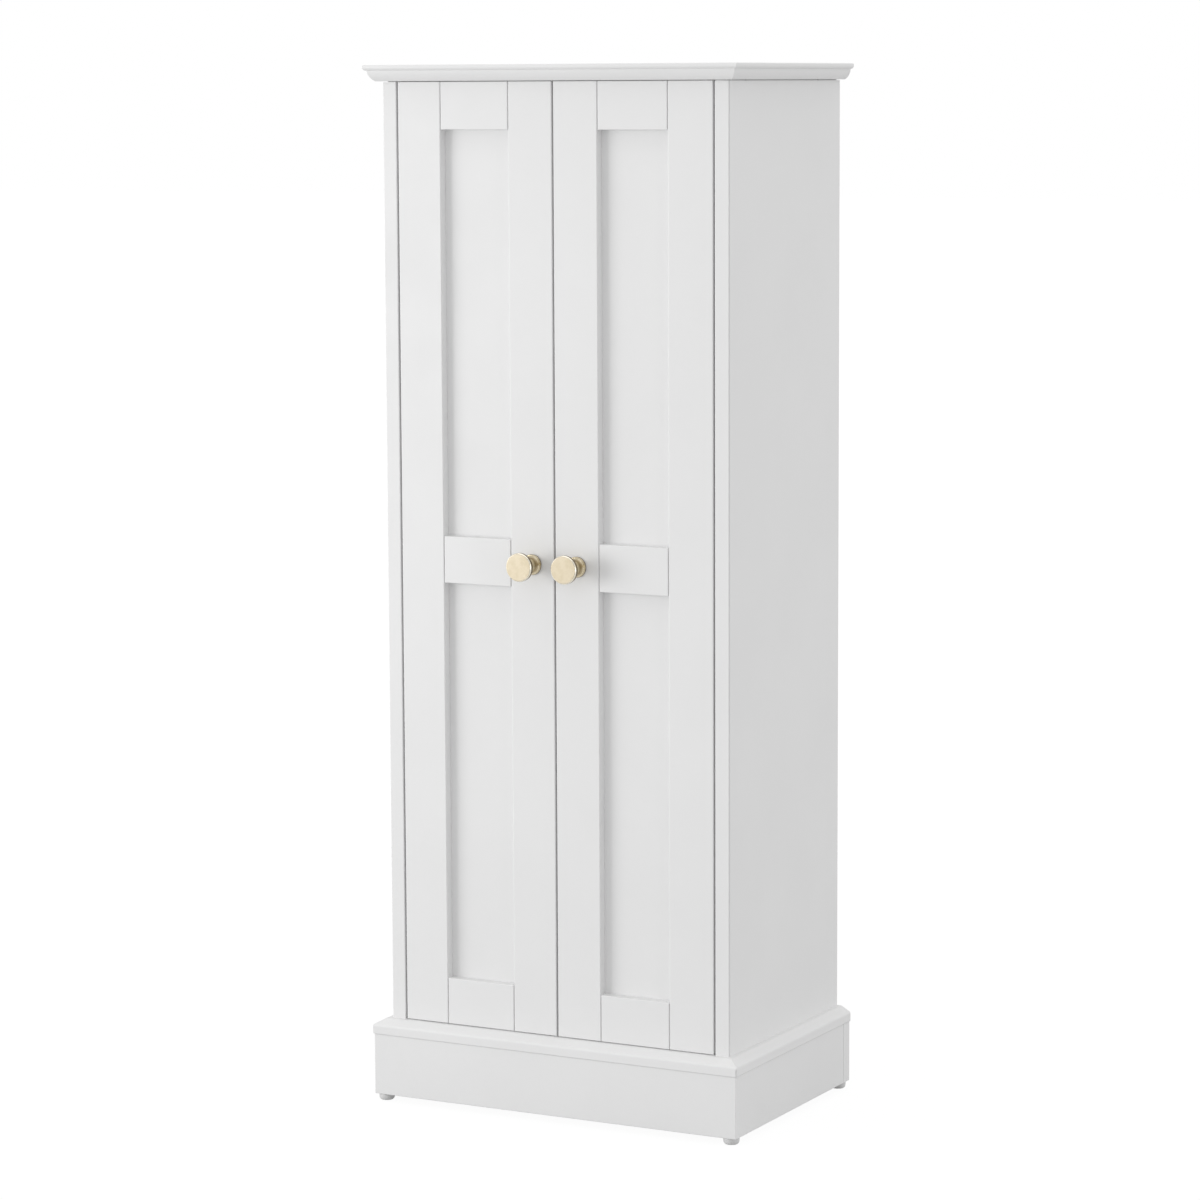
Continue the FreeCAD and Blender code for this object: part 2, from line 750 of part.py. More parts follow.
def add_catch():
    x = door_inner + stile / 2
    strike_y = (y_front + door_thickness, y_front + door_thickness + strike_thickness)
    strike_top = door_high - strike_drop
    strike_z = (strike_top - strike_height, strike_top)
    add_pair("strike_plate", block((x - strike_width / 2, x + strike_width / 2), strike_y, strike_z))
    screw_z = strike_z[0] + screw_head
    screw = pan_screw(screw_bite + strike_thickness, screw_diameter)
    screw = placed(screw, point(x, strike_y[1], screw_z), right, backward)
    add_pair("door_screws", screw)
    bore_pair("strike_plate", screw)
    bore_pair("door_inner_stile", screw)
    y_magnet = strike_y[1] + catch_gap
    y_housing = y_magnet + magnet_reach
    z_magnet = z_ceiling - catch_height / 2
    magnet = block((x - magnet_width / 2, x + magnet_width / 2), (y_magnet, y_housing + magnet_seat),
                   (z_magnet - magnet_height / 2, z_magnet + magnet_height / 2))
    housing_y = (y_housing, y_housing + catch_depth)
    body = block((x - catch_width / 2, x + catch_width / 2), housing_y,
                 (z_ceiling - catch_height, z_ceiling))
    ear_half = catch_width / 2 + catch_ear
    ears = block((x - ear_half, x + ear_half), housing_y, (z_ceiling - catch_ear_thickness, z_ceiling))
    add_group("catch_magnets", magnet)
    add_group("catch_housings", body.fuse(ears).removeSplitter())
    bore("catch_housings", magnet, mirrored(magnet))
    for side in (-1, 1):
        at = point(x + side * (ear_half - catch_ear / 2), y_housing + catch_depth / 2,
                   z_ceiling - catch_ear_thickness)
        screw = placed(pan_screw(screw_bite + catch_ear_thickness, screw_diameter), at, right, down)
        add_group("catch_screws", screw)
        bore("catch_housings", screw, mirrored(screw))
        bore_both("top_board", screw)


def save_pieces():
    os.makedirs("parts", exist_ok=True)
    for node, solids in pieces.items():
        tools = cutters.get(node, [])
        finished = []
        for solid in solids:
            near = [tool for tool in tools if tool.BoundBox.intersect(solid.BoundBox)]
            if near:
                solid = solid.cut(near)
            if len(solid.Solids) != 1 or not solid.isValid():
                raise RuntimeError("%s is not one sound solid" % node)
            finished.append(solid.Solids[0])
        if len(finished) == 1:
            shape = finished[0]
        else:
            shape = Part.makeCompound(finished)
        shape.exportStep("parts/%s.step" % node)
        print("%-26s %2d solids  %9.1f mm3" % (node, len(finished), shape.Volume))
    print("%d nodes" % len(pieces))


add_boards()
add_wall_rail()
join_boards()
add_shelves()
add_plinth()
add_door_frame()
add_knob()
for hinge_height in hinge_heights:
    add_hinge(hinge_height)
add_catch()
save_pieces()
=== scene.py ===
import json
import math
import bmesh
import bpy
from mathutils import Matrix, Vector


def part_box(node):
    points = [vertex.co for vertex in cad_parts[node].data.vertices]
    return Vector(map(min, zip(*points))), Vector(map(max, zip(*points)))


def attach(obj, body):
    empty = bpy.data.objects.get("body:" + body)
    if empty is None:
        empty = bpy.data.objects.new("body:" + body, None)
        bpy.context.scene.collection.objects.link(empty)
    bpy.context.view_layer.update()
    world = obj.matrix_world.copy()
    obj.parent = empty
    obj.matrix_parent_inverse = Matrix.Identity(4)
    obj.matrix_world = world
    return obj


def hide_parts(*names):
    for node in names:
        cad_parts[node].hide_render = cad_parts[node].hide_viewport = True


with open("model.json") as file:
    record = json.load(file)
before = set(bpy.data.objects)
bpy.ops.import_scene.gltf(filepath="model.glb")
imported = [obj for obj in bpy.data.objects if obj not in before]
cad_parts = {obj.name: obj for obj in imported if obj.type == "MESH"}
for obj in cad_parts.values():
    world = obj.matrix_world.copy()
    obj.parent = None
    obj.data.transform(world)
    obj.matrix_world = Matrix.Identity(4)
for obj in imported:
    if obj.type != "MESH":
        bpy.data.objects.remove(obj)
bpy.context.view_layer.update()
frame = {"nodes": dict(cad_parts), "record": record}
nodes = frame["nodes"]
slotOfNode = {part["node"]: part["material_slot"] for part in frame["record"]["subparts"]}
millimetre = 0.001
print("cabinet loaded:", len(nodes), "pieces")


# small helpers for node trees

def feed(tree, socket, value):
    if isinstance(value, bpy.types.NodeSocket):
        tree.links.new(value, socket)
    else:
        socket.default_value = value


def put(tree, kind, **values):
    made = tree.nodes.new("ShaderNode" + kind)
    for name, value in values.items():
        feed(tree, made.inputs[name], value)
    return made


def maths(tree, operation, first, second):
    made = put(tree, "Math")
    made.operation = operation
    feed(tree, made.inputs[0], first)
    feed(tree, made.inputs[1], second)
    return made.outputs[0]


def times(tree, first, second):
    return maths(tree, "MULTIPLY", first, second)


def vectorMaths(tree, operation, first, second):
    made = put(tree, "VectorMath")
    made.operation = operation
    feed(tree, made.inputs[0], first)
    feed(tree, made.inputs[1], second)
    return made.outputs["Value" if operation == "DOT_PRODUCT" else "Vector"]


def lengthOf(tree, vector):
    made = put(tree, "VectorMath")
    made.operation = "LENGTH"
    feed(tree, made.inputs[0], vector)
    return made.outputs["Value"]


# a smooth step from one number to another while the value goes from low to high
def spread(tree, value, low, high, toLow=0.0, toHigh=1.0):
    made = put(tree, "MapRange", Value=value)
    made.interpolation_type = "SMOOTHSTEP"
    for name, number in (("From Min", low), ("From Max", high), ("To Min", toLow), ("To Max", toHigh)):
        feed(tree, made.inputs[name], number)
    return made.outputs["Result"]


def blendColour(tree, mask, first, second):
    made = put(tree, "Mix")
    made.data_type = "RGBA"
    feed(tree, made.inputs[0], mask)
    feed(tree, made.inputs[6], first)
    feed(tree, made.inputs[7], second)
    return made.outputs[2]


def noise(tree, place, size, detail=2.0, rough=0.5):
    return put(tree, "TexNoise", Vector=place, Scale=size, Detail=detail, Roughness=rough).outputs["Fac"]


# a group has one vector input, Place, and number inputs with the values given
def newGroup(name, numbers, outs):
    tree = bpy.data.node_groups.new(name, "ShaderNodeTree")
    tree.interface.new_socket("Place", in_out="INPUT", socket_type="NodeSocketVector")
    for label, value in numbers.items():
        tree.interface.new_socket(label, in_out="INPUT", socket_type="NodeSocketFloat").default_value = value
    for label in outs:
        tree.interface.new_socket(label, in_out="OUTPUT", socket_type="NodeSocketFloat")
    return tree, tree.nodes.new("NodeGroupInput").outputs, tree.nodes.new("NodeGroupOutput").inputs


def useGroup(tree, group, **values):
    made = put(tree, "Group")
    made.node_tree = group
    for name, value in values.items():
        feed(tree, made.inputs[name], value)
    return made.outputs


# sprayed film: fine peel, slow clouding of the tone and of the sheen
filmShape = {"peel": 700.0, "cloud": 7.0, "broadPeel": 0.17, "cloudBand": (0.3, 0.7),
             "sheenCloud": 3.0, "sheenShift": (3.1, 1.7, 5.3), "sheenBand": (0.25, 0.75)}


def makeFilm():
    numbers = {"Peel": filmShape["peel"], "Cloud": filmShape["cloud"]}
    tree, ins, outs = newGroup("sprayedFilm", numbers, ("Height", "Cloud", "Sheen"))
    fine = noise(tree, ins["Place"], ins["Peel"], detail=2.0, rough=0.55)
    broad = noise(tree, ins["Place"], times(tree, ins["Peel"], filmShape["broadPeel"]), detail=1.0)
    tree.links.new(maths(tree, "ADD", fine, broad), outs["Height"])
    cloud = noise(tree, ins["Place"], ins["Cloud"], detail=4.0, rough=0.55)
    tree.links.new(spread(tree, cloud, *filmShape["cloudBand"]), outs["Cloud"])
    aside = vectorMaths(tree, "ADD", ins["Place"], filmShape["sheenShift"])
    sheen = noise(tree, aside, times(tree, ins["Cloud"], filmShape["sheenCloud"]), detail=3.0)
    tree.links.new(spread(tree, sheen, *filmShape["sheenBand"]), outs["Sheen"])
    return tree


# rubbed edges: where the rounded-off normal leaves the real one, broken up by a noise; the metals use it for wear,
# the boards for lighter paint that is partly a painted highlight along the arrises
edgeMaskShape = {"width": 0.001, "break": 160.0, "samples": 6, "turnBand": (0.995, 0.90),
            "breakBand": (0.35, 0.62), "least": 0.25}


def makeRubAndHighlight():
    numbers = {"Width": edgeMaskShape["width"], "Break": edgeMaskShape["break"]}
    tree, ins, outs = newGroup("rubbedEdgeAndHighlight", numbers, ("Edge",))
    soft = put(tree, "Bevel", Radius=ins["Width"])
    soft.samples = edgeMaskShape["samples"]
    sharp = put(tree, "NewGeometry")
    turn = vectorMaths(tree, "DOT_PRODUCT", soft.outputs["Normal"], sharp.outputs["Normal"])
    edge = spread(tree, turn, *edgeMaskShape["turnBand"])
    ragged = noise(tree, ins["Place"], ins["Break"], detail=4.0, rough=0.65)
    ragged = spread(tree, ragged, *edgeMaskShape["breakBand"], edgeMaskShape["least"], 1.0)
    tree.links.new(times(tree, edge, ragged), outs["Edge"])
    return tree


# thin dust on faces that look up
dustShape = {"size": 45.0, "upBand": (0.55, 0.98), "driftBand": (0.35, 0.75), "least": 0.15}


def makeDust():
    tree, ins, outs = newGroup("thinDust", {"Size": dustShape["size"]}, ("Dust",))
    facing = put(tree, "SeparateXYZ", Vector=put(tree, "NewGeometry").outputs["Normal"])
    level = spread(tree, facing.outputs["Z"], *dustShape["upBand"])
    drift = noise(tree, ins["Place"], ins["Size"], detail=6.0, rough=0.6)
    drift = spread(tree, drift, *dustShape["driftBand"], dustShape["least"], 1.0)
    tree.links.new(times(tree, level, drift), outs["Dust"])
    return tree


# lathe lines round the Y axis of a piece, after a Mapping node has centred it
turningShape = {"pitch": 0.0006, "smear": 190.0, "smearBand": (0.35, 0.7)}


def makeTurning():
    tree, ins, outs = newGroup("turnedLines", {"Pitch": turningShape["pitch"]}, ("Lines", "Smear"))
    radius = lengthOf(tree, vectorMaths(tree, "MULTIPLY", ins["Place"], (1.0, 0.0, 1.0)))
    along = put(tree, "SeparateXYZ", Vector=ins["Place"]).outputs["Y"]
    step = maths(tree, "DIVIDE", maths(tree, "ADD", radius, along), ins["Pitch"])
    lines = put(tree, "TexNoise", Scale=1.0, Detail=3.0, Roughness=0.7)
    lines.noise_dimensions = "1D"
    tree.links.new(step, lines.inputs["W"])
    tree.links.new(lines.outputs["Fac"], outs["Lines"])
    smear = noise(tree, ins["Place"], turningShape["smear"], detail=4.0, rough=0.6)
    tree.links.new(spread(tree, smear, *turningShape["smearBand"]), outs["Smear"])
    return tree


# drawn metal: fine scratches along Z and a cloudy plating
platingShape = {"fine": 900.0, "stretch": (1.0, 1.0, 0.06), "cloudSize": 0.12, "cloudBand": (0.35, 0.7)}


def makePlating():
    tree, ins, outs = newGroup("platedMetal", {"Fine": platingShape["fine"]}, ("Scratch", "Cloud"))
    stretched = vectorMaths(tree, "MULTIPLY", ins["Place"], platingShape["stretch"])
    tree.links.new(noise(tree, stretched, ins["Fine"], detail=4.0, rough=0.65), outs["Scratch"])
    cloud = noise(tree, ins["Place"], times(tree, ins["Fine"], platingShape["cloudSize"]), detail=4.0, rough=0.6)
    tree.links.new(spread(tree, cloud, *platingShape["cloudBand"]), outs["Cloud"])
    return tree


# straight wood grain along Z
grainShape = {"rings": 260.0, "bend": 22.0, "bendReach": (0.012, 0.012, 0.0), "ringStretch": (1.0, 1.0, 0.05),
              "ringBand": (0.3, 0.7), "poreSize": 9.0, "poreStretch": (1.0, 1.0, 0.03), "poreBand": (0.55, 0.7)}


def makeGrain():
    tree, ins, outs = newGroup("woodGrain", {"Rings": grainShape["rings"]}, ("Grain", "Pores"))
    bent = noise(tree, ins["Place"], grainShape["bend"])
    bent = put(tree, "CombineXYZ", X=bent, Y=bent).outputs[0]
    bent = vectorMaths(tree, "MULTIPLY", bent, grainShape["bendReach"])
    moved = vectorMaths(tree, "ADD", ins["Place"], bent)
    rings = vectorMaths(tree, "MULTIPLY", moved, grainShape["ringStretch"])
    rings = noise(tree, rings, ins["Rings"], detail=3.0, rough=0.6)
    tree.links.new(spread(tree, rings, *grainShape["ringBand"]), outs["Grain"])
    pores = vectorMaths(tree, "MULTIPLY", ins["Place"], grainShape["poreStretch"])
    pores = noise(tree, pores, times(tree, ins["Rings"], grainShape["poreSize"]), detail=2.0, rough=0.7)
    tree.links.new(spread(tree, pores, *grainShape["poreBand"]), outs["Pores"])
    return tree


film, edgeRubAndHighlight, dust = makeFilm(), makeRubAndHighlight(), makeDust()
turning, plating, grain = makeTurning(), makePlating(), makeGrain()
print("shared effects made")


def newFinish(name, **plain):
    finish = bpy.data.materials.new(name)
    finish.use_nodes = True
    tree = finish.node_tree
    shader = tree.nodes["Principled BSDF"]
    for label, value in plain.items():
        shader.inputs[label].default_value = value
    return finish, tree, shader.inputs


def placeOn(tree, centre=(0.0, 0.0, 0.0)):
    mapping = put(tree, "Mapping", Vector=put(tree, "TexCoord").outputs["Object"])
    mapping.inputs["Location"].default_value = [-c for c in centre]
    return mapping.outputs["Vector"]


def bump(tree, inputs, height, strength, distance):
    made = put(tree, "Bump", Height=height, Strength=strength, Distance=distance)
    tree.links.new(made.outputs["Normal"], inputs["Normal"])


def grey(level):
    return (level, level, level, 1.0)


# painted and faced boards
boardLooks = {
    "white_paint": {"tone": 0.815, "cloudTone": 0.800, "edgeHighlightTone": 0.845, "dustTone": (0.79, 0.78289, 0.7663, 1.0),
                    "rough": (0.34, 0.46), "peel": 620.0, "cloud": 6.0, "peelDepth": 0.00002,
                    "peelStrength": 0.10, "edgeWidth": 0.0011, "dust": 0.25, "dustRough": 0.3},
    "white_board": {"tone": 0.80, "cloudTone": 0.785, "edgeHighlightTone": 0.83, "dustTone": (0.77, 0.76307, 0.7469, 1.0),
                    "rough": (0.42, 0.55), "peel": 1400.0, "cloud": 11.0, "peelDepth": 0.00003,
                    "peelStrength": 0.16, "edgeWidth": 0.0009, "dust": 0.35, "dustRough": 0.3},
    "white_plastic": {"tone": 0.70, "cloudTone": 0.67, "edgeHighlightTone": 0.74, "dustTone": (0.66, 0.65406, 0.6402, 1.0),
                      "rough": (0.40, 0.52), "peel": 2400.0, "cloud": 60.0, "peelDepth": 0.00002,
                      "peelStrength": 0.2, "edgeWidth": 0.0006, "dust": 0.1, "dustRough": 0.3},
}


def whiteFinish(name, looks):
    finish, tree, inputs = newFinish(name, IOR=1.5)
    place = placeOn(tree)
    coat = useGroup(tree, film, Place=place, Peel=looks["peel"], Cloud=looks["cloud"])
    edge = useGroup(tree, edgeRubAndHighlight, Place=place, Width=looks["edgeWidth"])["Edge"]
    settled = times(tree, useGroup(tree, dust, Place=place)["Dust"], looks["dust"])
    colour = blendColour(tree, coat["Cloud"], grey(looks["cloudTone"]), grey(looks["tone"]))
    # lighter paint on the edges: partly rubbed wear, partly a painted highlight along the arrises
    colour = blendColour(tree, edge, colour, grey(looks["edgeHighlightTone"]))
    colour = blendColour(tree, settled, colour, looks["dustTone"])
    tree.links.new(colour, inputs["Base Color"])
    sheen = spread(tree, coat["Sheen"], 0.0, 1.0, *looks["rough"])
    sheen = maths(tree, "ADD", sheen, times(tree, settled, looks["dustRough"]))
    tree.links.new(sheen, inputs["Roughness"])
    bump(tree, inputs, coat["Height"], looks["peelStrength"], looks["peelDepth"])
    return finish


# turned brass of a knob: a tone for each height above the door, in millimetres; these tones paint light and shade:
# dark on the flange's edge, the waist and the head's side wall, bright on the flange top, the flare under the head
# and the rim's chamfer (a painted highlight)
brassLooks = {
    "shadedTones": ((0.0, (0.34, 0.29, 0.22)), (1.6, (0.40, 0.34, 0.25)), (2.1, (0.92, 0.83, 0.63)),
              (3.4, (0.78, 0.67, 0.47)), (6.2, (0.46, 0.36, 0.21)), (9.5, (0.95, 0.85, 0.61)),
              (16.5, (0.98, 0.91, 0.71)), (23.2, (0.90, 0.83, 0.65)), (24.2, (0.26, 0.205, 0.13)),
              (27.8, (0.26, 0.205, 0.13)), (28.05, (0.97, 0.92, 0.80)), (28.85, (0.97, 0.92, 0.80)),
              (28.97, (0.568, 0.501, 0.383))),
    "length": 29.0, "rimStart": (0.0278, 0.0281), "faceStart": (0.0288, 0.02898),
    "smear": (0.93, 0.92, 0.88, 1.0), "neckShade": (0.74, 0.68, 0.55, 1.0), "lineShade": 0.25,
    "edge": (0.97, 0.93, 0.83, 1.0), "edgeWidth": 0.0004, "edgeBreak": 700.0, "edgeWear": 0.85,
    "rough": (0.36, 0.44), "satinLines": 0.6, "satinSmear": 0.4, "satinBand": (0.2, 0.8), "neckShine": 0.22,
    "pitch": 0.00042, "lineDepth": 0.00001, "lineStrength": 0.3,
}


def brassShadedTones(tree, height):
    ramp = put(tree, "ValToRGB", Fac=maths(tree, "DIVIDE", height, brassLooks["length"] * millimetre))
    stops = ramp.color_ramp.elements
    while len(stops) < len(brassLooks["shadedTones"]):
        stops.new(1.0)
    for stop, (level, tone) in zip(stops, brassLooks["shadedTones"]):
        stop.position = level / brassLooks["length"]
        stop.color = (*tone, 1.0)
    return ramp.outputs["Color"]


def brassFinish(name, centre):
    looks = brassLooks
    finish, tree, inputs = newFinish(name, Metallic=1.0)
    place = placeOn(tree, centre)
    turned = useGroup(tree, turning, Place=place, Pitch=looks["pitch"])
    edge = useGroup(tree, edgeRubAndHighlight, Place=place, Width=looks["edgeWidth"], Break=looks["edgeBreak"])["Edge"]
    height = times(tree, put(tree, "SeparateXYZ", Vector=place).outputs["Y"], -1.0)
    behindRim = spread(tree, height, *looks["rimStart"], 1.0, 0.0)
    behindFace = spread(tree, height, *looks["faceStart"], 1.0, 0.0)
    # smeared lacquer everywhere, a mottled painted shade that darkens the neck behind the rim, and painted shade
    # in the lathe lines behind the rim
    smearAndNeckShade = blendColour(tree, behindRim, looks["smear"], looks["neckShade"])
    shade = blendColour(tree, turned["Smear"], grey(1.0), smearAndNeckShade)
    lines = times(tree, times(tree, turned["Lines"], behindRim), looks["lineShade"])
    shade = blendColour(tree, lines, shade, grey(0.0))
    # the height tones carry painted shade and painted highlights
    colour = vectorMaths(tree, "MULTIPLY", brassShadedTones(tree, height), shade)
    worn = times(tree, times(tree, edge, maths(tree, "SUBTRACT", 1.0, behindRim)), looks["edgeWear"])
    tree.links.new(blendColour(tree, worn, colour, looks["edge"]), inputs["Base Color"])
    # satin face, shinier rim and neck
    satin = maths(tree, "ADD", times(tree, turned["Lines"], looks["satinLines"]),
                  times(tree, turned["Smear"], looks["satinSmear"]))
    satin = spread(tree, satin, *looks["satinBand"], *looks["rough"])
    shine = times(tree, behindFace, looks["neckShine"])
    tree.links.new(maths(tree, "SUBTRACT", satin, shine), inputs["Roughness"])
    bump(tree, inputs, turned["Lines"], looks["lineStrength"], looks["lineDepth"])
    return finish


# plated and cast metal of the fittings
metalLooks = {
    "plated_steel": {"colour": (0.70, 0.70, 0.685, 1.0), "stain": (0.55, 0.545, 0.52, 1.0),
                     "edge": (0.84, 0.84, 0.83, 1.0), "rough": (0.22, 0.40), "fine": 1100.0,
                     "depth": 0.00001, "strength": 0.25},
    "cast_zinc": {"colour": (0.60, 0.60, 0.61, 1.0), "stain": (0.44, 0.44, 0.45, 1.0),
                  "edge": (0.72, 0.72, 0.73, 1.0), "rough": (0.42, 0.62), "fine": 1800.0,
                  "depth": 0.00004, "strength": 0.45},
    "magnet": {"colour": (0.33, 0.33, 0.34, 1.0), "stain": (0.22, 0.22, 0.23, 1.0),
               "edge": (0.52, 0.52, 0.52, 1.0), "rough": (0.35, 0.55), "fine": 1500.0,
               "depth": 0.00002, "strength": 0.3},
}
metalWear = {"edgeWidth": 0.0004, "edgeBreak": 900.0, "edgeWear": 0.8, "scratchBand": (0.25, 0.75)}


def metalFinish(name, looks):
    finish, tree, inputs = newFinish(name, Metallic=1.0)
    place = placeOn(tree)
    plate = useGroup(tree, plating, Place=place, Fine=looks["fine"])
    edge = useGroup(tree, edgeRubAndHighlight, Place=place, Width=metalWear["edgeWidth"], Break=metalWear["edgeBreak"])["Edge"]
    colour = blendColour(tree, plate["Cloud"], looks["colour"], looks["stain"])
    colour = blendColour(tree, times(tree, edge, metalWear["edgeWear"]), colour, looks["edge"])
    tree.links.new(colour, inputs["Base Color"])
    rough = spread(tree, plate["Scratch"], *metalWear["scratchBand"], *looks["rough"])
    tree.links.new(rough, inputs["Roughness"])
    bump(tree, inputs, plate["Scratch"], looks["strength"], looks["depth"])
    return finish


# unpainted wood of the dowels and corner blocks
woodLooks = {"light": (0.72, 0.56, 0.37, 1.0), "dark": (0.52, 0.36, 0.20, 1.0), "pore": (0.36, 0.23, 0.12, 1.0),
             "poreShade": 0.5, "rings": 240.0, "rough": (0.55, 0.72), "depth": 0.00005, "strength": 0.3}


def woodFinish(name):
    finish, tree, inputs = newFinish(name)
    cut = useGroup(tree, grain, Place=placeOn(tree), Rings=woodLooks["rings"])
    colour = blendColour(tree, cut["Grain"], woodLooks["light"], woodLooks["dark"])
    colour = blendColour(tree, times(tree, cut["Pores"], woodLooks["poreShade"]), colour, woodLooks["pore"])
    tree.links.new(colour, inputs["Base Color"])
    tree.links.new(spread(tree, cut["Grain"], 0.0, 1.0, *woodLooks["rough"]), inputs["Roughness"])
    bump(tree, inputs, cut["Grain"], woodLooks["strength"], woodLooks["depth"])
    return finish


finishes = {name: whiteFinish(name, looks) for name, looks in boardLooks.items()}
finishes.update({name: metalFinish(name, looks) for name, looks in metalLooks.items()})
finishes["bare_wood"] = woodFinish("bare_wood")
for name, piece in nodes.items():
    wanted = "magnet" if name == "catch_magnets" else slotOfNode[name]
    if wanted in finishes:  # the CAD knobs are replaced further down
        for place in piece.material_slots:
            place.material = finishes[wanted]
print("finishes on the boards and fittings")

# new turned pieces: a half outline of radius and height spun round an axis, corners rounded off
lathe = {"side": (1.0, 0.0, 0.0), "mergeWithin": 0.000002, "bevelSegments": 3}


def turnedPiece(name, shape, centre, axis):
    mesh = bmesh.new()
    axis, side = Vector(axis), Vector(lathe["side"])
    points = [mesh.verts.new(Vector(centre) + (side * r + axis * h) * millimetre) for r, h in shape["outline"]]
    for first, second in zip(points, points[1:]):
        mesh.edges.new((first, second))
    bmesh.ops.spin(mesh, geom=mesh.verts[:] + mesh.edges[:], cent=centre, axis=axis, dvec=(0, 0, 0),
                   angle=math.tau, steps=shape["steps"], use_merge=True)
    bmesh.ops.remove_doubles(mesh, verts=mesh.verts[:], dist=lathe["mergeWithin"])
    bmesh.ops.recalc_face_normals(mesh, faces=mesh.faces[:])
    sharp = math.radians(shape["sharp"])
    corners = [edge for edge in mesh.edges if edge.is_manifold and edge.calc_face_angle() > sharp]
    bmesh.ops.bevel(mesh, geom=corners, offset=shape["bevel"] * millimetre, offset_type="OFFSET", affect="EDGES",
                    segments=lathe["bevelSegments"], profile=0.5, material=-1, clamp_overlap=True)
    made = bpy.data.meshes.new(name)
    mesh.to_mesh(made)
    mesh.free()
    made.shade_smooth()
    piece = bpy.data.objects.new(name, made)
    bpy.context.scene.collection.objects.link(piece)
    return piece


# knob: radius and height above the door face in millimetres, bevel in millimetres, sharp in degrees
knobShape = {
    "outline": ((0.0, 0.0), (10.3, 0.0), (10.3, 0.4), (10.3, 1.5), (9.8, 2.1), (9.5, 2.1), (8.7, 2.4),
                (8.1, 3.3), (7.3, 5.4), (6.7, 8.0), (6.35, 11.0), (6.3, 13.2), (6.5, 15.4), (7.1, 17.8),
                (8.2, 20.2), (9.9, 22.2), (11.6, 23.4), (12.2, 23.6), (12.2, 24.2), (12.5, 24.3),
                (13.6, 24.5), (14.25, 25.0), (14.25, 25.4), (14.25, 27.6), (14.25, 28.0), (13.25, 29.0),
                (12.85, 29.0), (0.0, 29.0)),
    "steps": 96, "bevel": 0.16, "sharp": 24, "axis": (0, -1, 0),
}
for side in ("left", "right"):
    low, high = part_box(side + "_knob")
    centre = ((low.x + high.x) / 2, high.y, (low.z + high.z) / 2)
    knob = turnedPiece(side + "_turned_knob", knobShape, centre, knobShape["axis"])
    knob.data.materials.append(brassFinish(side + "_knob_brass", centre))
    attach(knob, side + "_door")
    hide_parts(side + "_knob")
print("knobs turned")

# glides under the plinth corners, each with the nail that holds it
glideShape = {
    "outline": ((0.0, 0.0), (4.4, 0.0), (6.2, 0.45), (7.3, 1.5), (7.85, 2.9), (8.0, 4.4), (8.0, 6.4),
                (7.5, 7.0), (1.2, 7.0), (1.2, 20.0), (0.0, 22.0)),
    "steps": 56, "bevel": 0.2, "sharp": 30, "axis": (0, 0, 1),
}
for corner in ("left_front", "right_front", "left_back", "right_back"):
    low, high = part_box(corner + "_foot")
    centre = ((low.x + high.x) / 2, (low.y + high.y) / 2, low.z)
    glide = turnedPiece(corner + "_glide", glideShape, centre, glideShape["axis"])
    glide.data.materials.append(finishes["white_plastic"])
    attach(glide, "cabinet")
    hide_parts(corner + "_foot")
print("glides made")

# studio: lamps in watts and metres, all other lengths in metres
studio = {
    "floorSize": 60.0, "floorRough": 0.9, "floorCloud": 3.0, "floorTones": (0.95, 0.94),
    "paperGlow": 1.02,  # of the white paper that the camera sees
    "floorGlow": 0.93, "shadeReach": (0.5, 1.4),  # share of it beside the cabinet, and where it is whole
    "floorTone": 0.45, "floorFill": (0.25, 0.06), "fillReach": (-0.5, 0.2),  # light sent back, front and rear
    "floorMirror": 0.55,  # paper that gloss reflects
    "surround": 0.737,
    "lamps": {
        "key": {"watts": 51.0, "size": (2.2, 1.4), "place": (-2.8, -2.4, 0.7), "aim": (0.0, -0.1, 0.55)},
        "left": {"watts": 4.0, "size": (1.0, 1.6), "place": (-2.4, -0.4, 0.8), "aim": (0.0, -0.1, 0.55)},
        "strip": {"watts": 2.4, "size": (0.3, 1.2), "place": (2.25, -1.3, 0.55), "aim": (0.0, -0.1, 0.55)},
        "above": {"watts": 15.0, "size": (3.0, 3.0), "place": (0.0, 0.0, 3.0), "aim": (0.0, 0.0, 0.6)},
        "right": {"watts": 13.5, "size": (2.0, 2.0), "place": (3.0, 0.9, 0.9), "aim": (0.2, 0.0, 0.55)},
    },
}


def aimed(place, aim):
    return (Vector(aim) - Vector(place)).to_track_quat("-Z", "Y").to_matrix().to_4x4()


def addLamp(name, looks):
    light = bpy.data.lights.new(name, "AREA")
    light.energy = looks["watts"]
    light.shape = "RECTANGLE"
    light.size, light.size_y = looks["size"]
    lamp = bpy.data.objects.new(name, light)
    lamp.matrix_world = Matrix.Translation(looks["place"]) @ aimed(looks["place"], looks["aim"])
    bpy.context.scene.collection.objects.link(lamp)


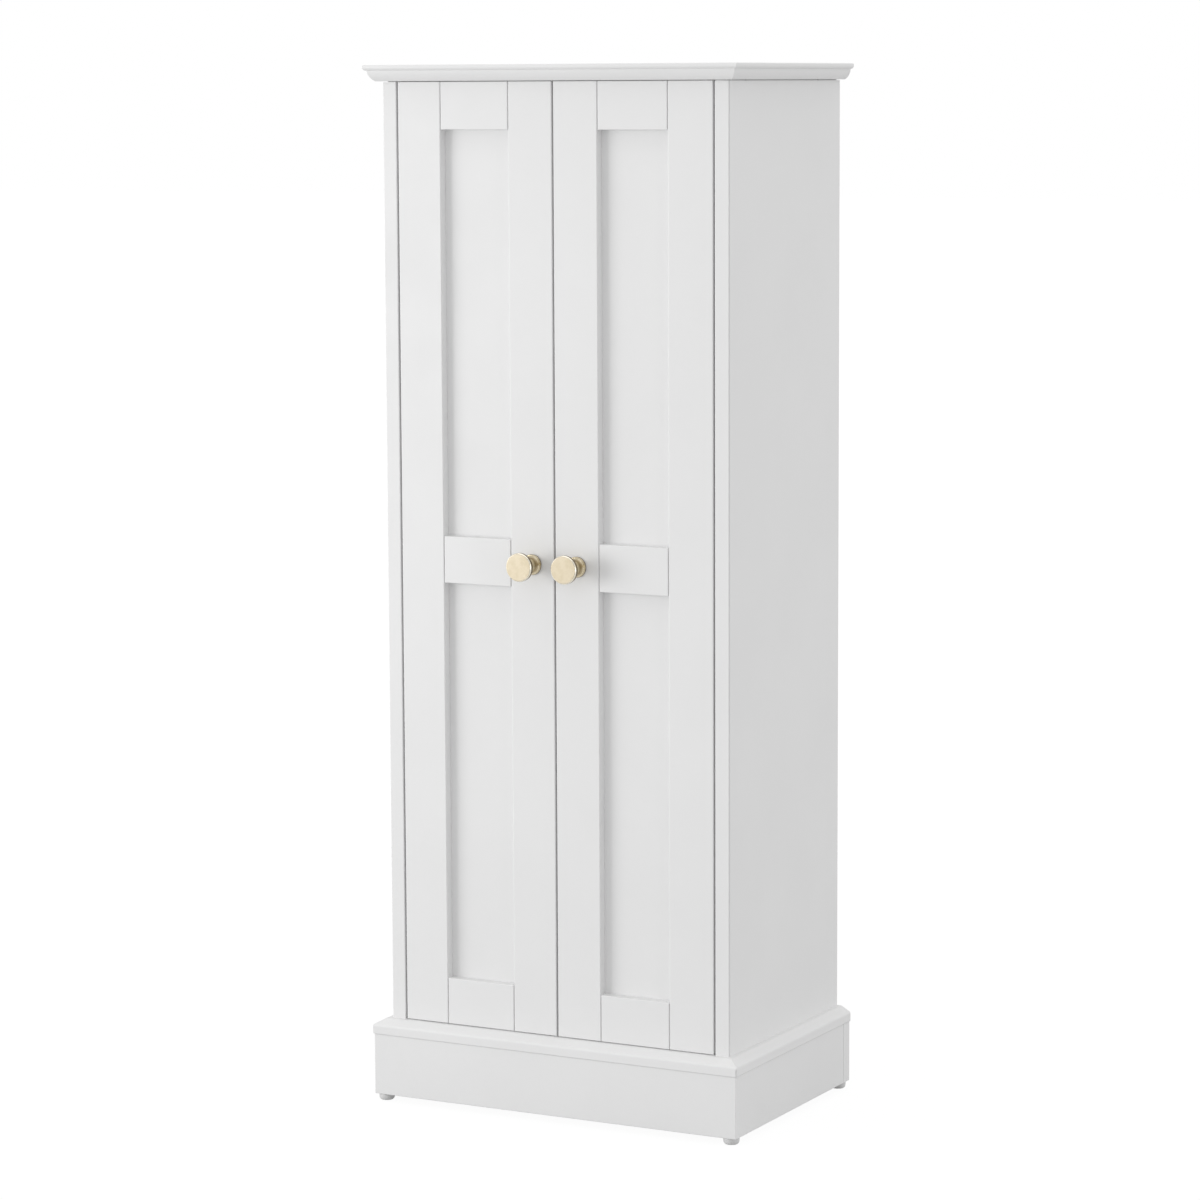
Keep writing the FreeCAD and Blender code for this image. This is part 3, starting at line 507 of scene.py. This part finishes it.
# seen directly the floor is white paper, while the light that it sends back is toned down
def floorFinish():
    finish, tree, inputs = newFinish("floor_white", Roughness=studio["floorRough"])
    place = placeOn(tree)
    ray = put(tree, "LightPath").outputs
    seen = ray["Is Camera Ray"]
    first, second = studio["floorTones"]
    tone = blendColour(tree, noise(tree, place, studio["floorCloud"]), grey(first), grey(second))
    tree.links.new(blendColour(tree, seen, grey(studio["floorTone"]), tone), inputs["Base Color"])
    glow = spread(tree, lengthOf(tree, place), *studio["shadeReach"], studio["floorGlow"], 1.0)
    along = put(tree, "SeparateXYZ", Vector=place).outputs["Y"]
    fill = spread(tree, along, *studio["fillReach"], *studio["floorFill"])
    fill = maths(tree, "MAXIMUM", fill, times(tree, ray["Is Glossy Ray"], studio["floorMirror"]))
    paper = put(tree, "Emission", Color=grey(1.0), Strength=studio["paperGlow"])
    both = put(tree, "MixShader")
    feed(tree, both.inputs[0], spread(tree, seen, 0.0, 1.0, fill, glow))
    tree.links.new(tree.nodes["Principled BSDF"].outputs[0], both.inputs[1])
    tree.links.new(paper.outputs[0], both.inputs[2])
    tree.links.new(both.outputs[0], tree.nodes["Material Output"].inputs["Surface"])
    return finish


def addFloor():
    sheet = bmesh.new()
    bmesh.ops.create_grid(sheet, x_segments=2, y_segments=2, size=studio["floorSize"] / 2)
    made = bpy.data.meshes.new("studio_floor")
    sheet.to_mesh(made)
    sheet.free()
    made.materials.append(floorFinish())
    floor = bpy.data.objects.new("studio_floor", made)
    bpy.context.scene.collection.objects.link(floor)


def addSurround():
    world = bpy.data.worlds.new("white_studio")
    bpy.context.scene.world = world
    world.use_nodes = True
    tree = world.node_tree
    seen = put(tree, "LightPath").outputs["Is Camera Ray"]
    sky = tree.nodes["Background"].inputs
    feed(tree, sky["Color"], grey(1.0))
    feed(tree, sky["Strength"], spread(tree, seen, 0.0, 1.0, studio["surround"], 1.0))


addFloor()
addSurround()
for name, looks in studio["lamps"].items():
    addLamp(name, looks)
bpy.context.scene.view_settings.view_transform = "Standard"
print("studio lit")

# camera at the photograph's angle: place and reach in metres, angles in degrees, lens and sensor in millimetres
view = {"place": (1.8891, -3.5911, 1.0292), "azimuth": 27.863, "down": 7.255, "roll": -0.252,
        "lens": 121.305, "sensor": 36.0, "reach": 200.0}
turn = (Matrix.Rotation(math.radians(view["azimuth"]), 4, "Z")
        @ Matrix.Rotation(math.radians(90 - view["down"]), 4, "X")
        @ Matrix.Rotation(math.radians(view["roll"]), 4, "Z"))
lens = bpy.data.cameras.new("photo_camera")
lens.sensor_width = view["sensor"]
lens.lens = view["lens"]
lens.clip_end = view["reach"]
camera = bpy.data.objects.new("photo_camera", lens)
camera.matrix_world = Matrix.Translation(view["place"]) @ turn
bpy.context.scene.collection.objects.link(camera)
bpy.context.scene.camera = camera
print("camera set")

bpy.context.view_layer.update()
